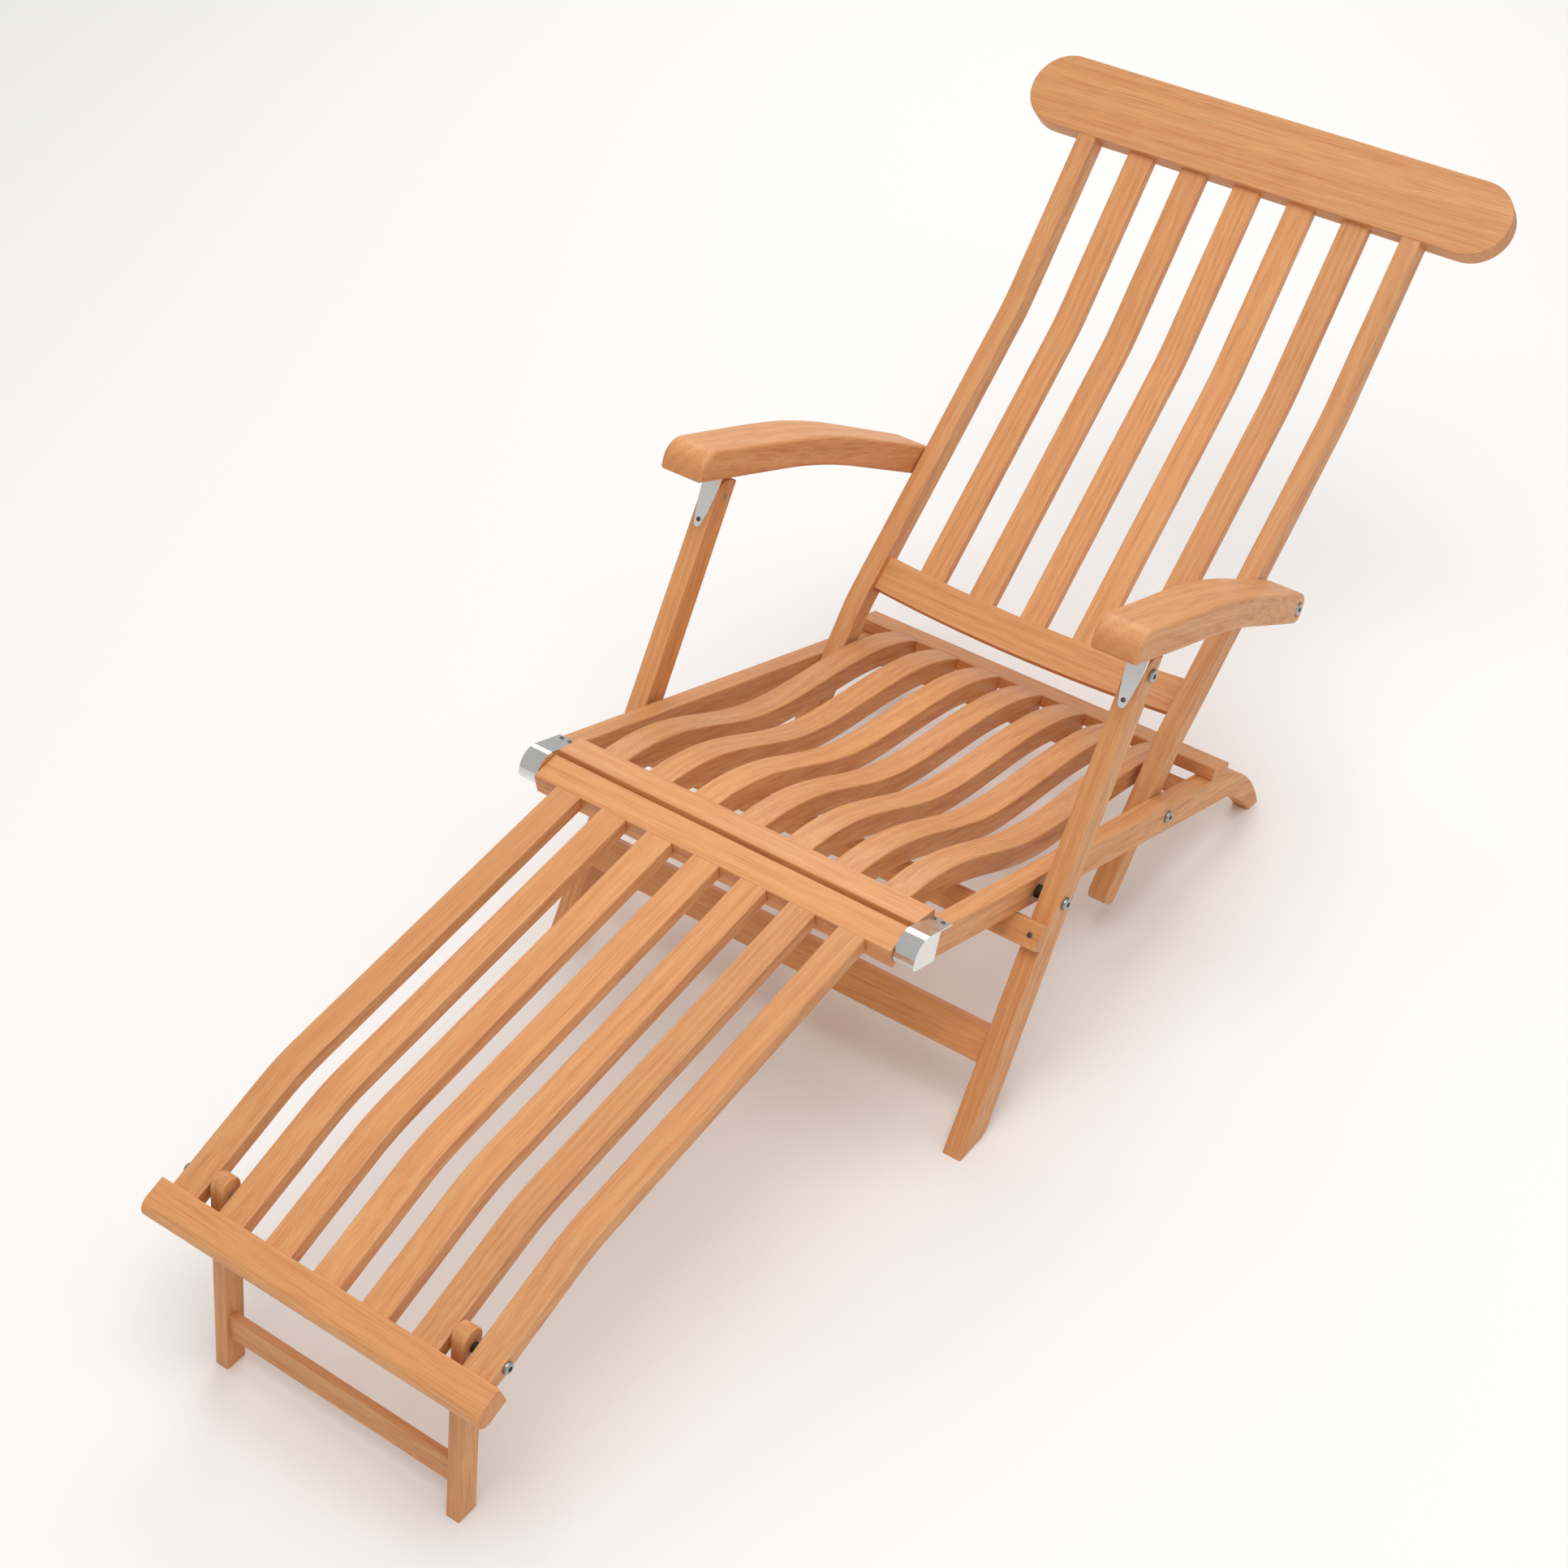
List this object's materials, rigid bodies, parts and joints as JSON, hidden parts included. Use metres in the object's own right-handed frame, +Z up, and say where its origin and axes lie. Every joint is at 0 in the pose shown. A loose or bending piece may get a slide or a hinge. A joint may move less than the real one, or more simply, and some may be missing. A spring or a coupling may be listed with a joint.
{
  "type": "deck chair",
  "caption": "Folding slatted wooden deck chair with a reclined back, curved arms, round-ended headrest board and a hinged footrest on folding legs.",
  "frame": {"origin": "on the floor, in the mirror plane, midway between the front of the footrest and the back of the headrest", "axes": "+Z up, +Y from the foot end to the head end, +X to the right of someone facing the head end"},
  "size_m": [0.635, 1.7466, 0.691],
  "materials": {
    "oiled_hardwood": "oiled",
    "polished_steel": "polished",
    "bolt_steel": "satin",
    "spacer_nylon": "matte",
    "screw_steel": "satin"
  },
  "bodies": {
    "seat": {"seat_rail_l": "oiled_hardwood", "seat_rail_r": "oiled_hardwood", "rail_cap_l": "polished_steel", "rail_cap_r": "polished_steel", "rail_cap_screws": "screw_steel", "seat_front_board": "oiled_hardwood", "seat_rear_batten": "oiled_hardwood", "slat_support_strip": "oiled_hardwood", "seat_slat_1": "oiled_hardwood", "seat_slat_2": "oiled_hardwood", "seat_slat_3": "oiled_hardwood", "seat_slat_4": "oiled_hardwood", "seat_slat_5": "oiled_hardwood", "seat_slat_6": "oiled_hardwood", "seat_slat_7": "oiled_hardwood", "back_pivot_bolts": "bolt_steel", "leg_pivot_bolts": "bolt_steel", "leg_spacers": "spacer_nylon", "footrest_hinge_pins": "bolt_steel"},
    "backrest": {"back_stile_l": "oiled_hardwood", "back_stile_r": "oiled_hardwood", "back_slat_1": "oiled_hardwood", "back_slat_2": "oiled_hardwood", "back_slat_3": "oiled_hardwood", "back_slat_4": "oiled_hardwood", "back_slat_5": "oiled_hardwood", "headrest_board": "oiled_hardwood", "lower_back_rail": "oiled_hardwood", "arm_bolts": "bolt_steel"},
    "arms": {"arm_l": "oiled_hardwood", "arm_r": "oiled_hardwood"},
    "front_legs": {"front_leg_l": "oiled_hardwood", "front_leg_r": "oiled_hardwood", "upper_crossboard": "oiled_hardwood", "lower_stretcher": "oiled_hardwood", "leg_strap_l": "polished_steel", "leg_strap_r": "polished_steel", "strap_screws": "screw_steel", "leg_top_bolts": "bolt_steel", "crossboard_screws": "screw_steel"},
    "footrest": {"footrest_top_board": "oiled_hardwood", "footrest_member_l": "oiled_hardwood", "footrest_member_r": "oiled_hardwood", "footrest_slat_1": "oiled_hardwood", "footrest_slat_2": "oiled_hardwood", "footrest_slat_3": "oiled_hardwood", "footrest_slat_4": "oiled_hardwood", "footrest_slat_5": "oiled_hardwood", "footrest_end_rail": "oiled_hardwood", "footrest_leg_bolts": "bolt_steel", "footrest_leg_spacers": "spacer_nylon"},
    "footrest_legs": {"footrest_leg_l": "oiled_hardwood", "footrest_leg_r": "oiled_hardwood", "footrest_leg_stretcher": "oiled_hardwood"}
  },
  "joints": [
    {"name": "back_fold", "type": "hinge", "parent": "seat", "child": "backrest", "pos_m": [0, 0.26098, 0.14191], "axis": [1, 0, 0], "range_deg": [0, 50]},
    {"name": "leg_fold", "type": "hinge", "parent": "seat", "child": "front_legs", "pos_m": [0, -0.02586, 0.238], "axis": [1, 0, 0], "range_deg": [0, 53.1]},
    {"name": "arm_fold", "type": "hinge", "parent": "backrest", "child": "arms", "pos_m": [0, 0.46812, 0.32414], "axis": [1, 0, 0], "range_deg": [-40.9, 0]},
    {"name": "footrest_swing", "type": "hinge", "parent": "seat", "child": "footrest", "pos_m": [0, -0.24346, 0.3125], "axis": [1, 0, 0], "range_deg": [-15, 75]},
    {"name": "footrest_leg_fold", "type": "hinge", "parent": "footrest", "child": "footrest_legs", "pos_m": [0, -0.81767, 0.21565], "axis": [1, 0, 0], "range_deg": [0, 104]}
  ],
  "couplings": [
    {"joint": "leg_fold", "follows": "back_fold", "ratio": 1.0616},
    {"joint": "arm_fold", "follows": "back_fold", "ratio": -0.8168}
  ]
}
